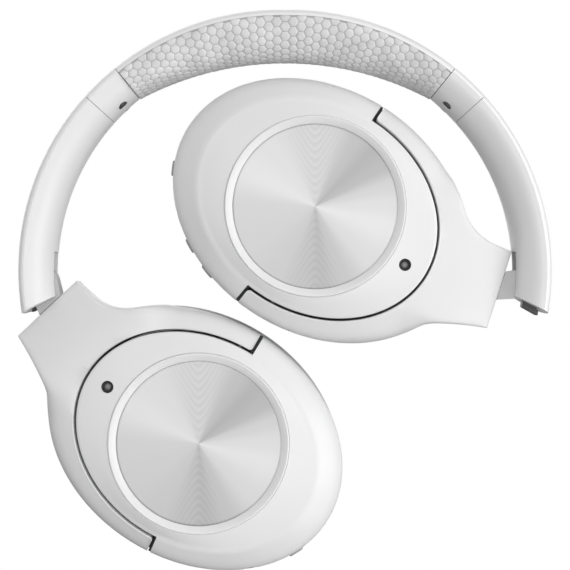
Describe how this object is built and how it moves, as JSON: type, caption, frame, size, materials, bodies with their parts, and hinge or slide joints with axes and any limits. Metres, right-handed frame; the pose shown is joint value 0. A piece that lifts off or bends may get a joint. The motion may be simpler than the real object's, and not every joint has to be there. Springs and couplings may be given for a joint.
{
  "type": "over-ear headphones",
  "caption": "Folding over-ear headphones with a padded headband, sliding arms, swivelling yokes and oval cups with spun metal discs.",
  "frame": {"origin": "middle of the whole set's box in its rest pose", "axes": "+Z towards the crown of the headband; +X towards the wearer's left ear; the wearer faces -Y; drawn part folded, with the cups swivelled flat and their outer faces towards -Y"},
  "size_m": [0.1704, 0.0404, 0.1792],
  "materials": {
    "shell_white": "gloss white moulding",
    "satin_white": "satin white moulding",
    "pad_grey_weave": "raised hexagon cells",
    "spring_steel": "rolled",
    "core_plastic": "moulded",
    "pin_steel": "turned",
    "magnet": "nickel plated",
    "spun_metal": "concentric spun finish",
    "port_dark": "matt",
    "button_grey": "satin",
    "ear_leatherette": "fine grain leatherette",
    "ear_cloth": "open weave",
    "diaphragm_film": "film",
    "board_green": "solder mask",
    "cell_wrap": "wrap",
    "port_metal": "folded"
  },
  "bodies": {
    "headband": {"headband_shell": "shell_white", "spring_band": "spring_steel", "headband_core": "core_plastic", "headband_pad": "pad_grey_weave", "sleeve_screws": "pin_steel", "left_end_sleeve": "satin_white", "right_end_sleeve": "satin_white"},
    "left_arm": {"left_slider_rail": "spring_steel", "left_arm_strip": "shell_white", "left_arm_body": "satin_white", "left_fold_pin": "pin_steel"},
    "left_hinge": {"left_knuckle": "satin_white", "left_swivel_bolt": "pin_steel", "left_swivel_clip": "pin_steel"},
    "left_swivel": {"left_yoke": "satin_white", "left_pivot_pins": "pin_steel"},
    "left_cup": {"left_cup_shell": "shell_white", "left_disc_rim": "shell_white", "left_disc": "spun_metal", "left_mic_cap": "port_dark", "left_baffle": "core_plastic", "left_housing_screws": "pin_steel", "left_driver_frame": "pin_steel", "left_driver_magnet": "magnet", "left_diaphragm": "diaphragm_film", "left_ear_pad": "ear_leatherette", "left_ear_mesh": "ear_cloth", "left_circuit_board": "board_green", "left_battery": "cell_wrap", "left_usb_port": "port_metal"},
    "left_power_button_key": {"left_power_button": "button_grey"},
    "left_volume_up_button_key": {"left_volume_up_button": "button_grey"},
    "left_volume_down_button_key": {"left_volume_down_button": "button_grey"},
    "right_arm": {"right_slider_rail": "spring_steel", "right_arm_strip": "shell_white", "right_arm_body": "satin_white", "right_fold_pin": "pin_steel"},
    "right_hinge": {"right_knuckle": "satin_white", "right_swivel_bolt": "pin_steel", "right_swivel_clip": "pin_steel"},
    "right_swivel": {"right_yoke": "satin_white", "right_pivot_pins": "pin_steel"},
    "right_cup": {"right_cup_shell": "shell_white", "right_disc_rim": "shell_white", "right_disc": "spun_metal", "right_mic_cap": "port_dark", "right_baffle": "core_plastic", "right_housing_screws": "pin_steel", "right_driver_frame": "pin_steel", "right_driver_magnet": "magnet", "right_diaphragm": "diaphragm_film", "right_ear_pad": "ear_leatherette", "right_ear_mesh": "ear_cloth", "right_circuit_board": "board_green", "right_audio_jack": "port_dark"},
    "right_noise_cancel_button_key": {"right_noise_cancel_button": "button_grey"}
  },
  "joints": [
    {"name": "left_slider", "type": "hinge", "parent": "headband", "child": "left_arm", "pos_m": [-0.03048, -0.00335, -0.02272], "axis": [0, 1, 0], "range_deg": [0, 9]},
    {"name": "left_fold", "type": "hinge", "parent": "left_arm", "child": "left_hinge", "pos_m": [0.0769, -0.00335, 0.00313], "axis": [0, 1, 0], "range_deg": [-2.5, 1]},
    {"name": "left_swivel", "type": "hinge", "parent": "left_hinge", "child": "left_swivel", "pos_m": [0.0686, -0.00335, 0.00034], "axis": [0.9516, 0, -0.3074], "range_deg": [0, 90]},
    {"name": "left_tilt", "type": "hinge", "parent": "left_swivel", "child": "left_cup", "pos_m": [0.01374, -0.00995, 0.02364], "axis": [0.5446, 0, 0.8387], "range_deg": [-5, 5]},
    {"name": "left_power_button_press", "type": "slide", "parent": "left_cup", "child": "left_power_button_key", "axis": [0.9928, 0, -0.1195], "range_m": [0, 0.0006]},
    {"name": "left_volume_up_button_press", "type": "slide", "parent": "left_cup", "child": "left_volume_up_button_key", "axis": [0.8806, 0, 0.4739], "range_m": [0, 0.0006]},
    {"name": "left_volume_down_button_press", "type": "slide", "parent": "left_cup", "child": "left_volume_down_button_key", "axis": [0.7812, 0, 0.6243], "range_m": [0, 0.0006]},
    {"name": "right_slider", "type": "hinge", "parent": "headband", "child": "right_arm", "pos_m": [0.03068, -0.00335, -0.02272], "axis": [0, -1, 0], "range_deg": [0, 9]},
    {"name": "right_fold", "type": "hinge", "parent": "right_arm", "child": "right_hinge", "pos_m": [-0.0767, -0.00335, 0.00313], "axis": [0, -1, 0], "range_deg": [-15.1, 2.5]},
    {"name": "right_swivel", "type": "hinge", "parent": "right_hinge", "child": "right_swivel", "pos_m": [-0.07569, -0.00335, -0.00556], "axis": [0.6833, 0, -0.7302], "range_deg": [0, 90]},
    {"name": "right_tilt", "type": "hinge", "parent": "right_swivel", "child": "right_cup", "pos_m": [-0.03125, -0.00995, -0.04529], "axis": [-0.527, 0, -0.8499], "range_deg": [-5, 5]},
    {"name": "right_noise_cancel_button_press", "type": "slide", "parent": "right_cup", "child": "right_noise_cancel_button_key", "axis": [-0.5308, 0, 0.8475], "range_m": [0, 0.0006]}
  ]
}
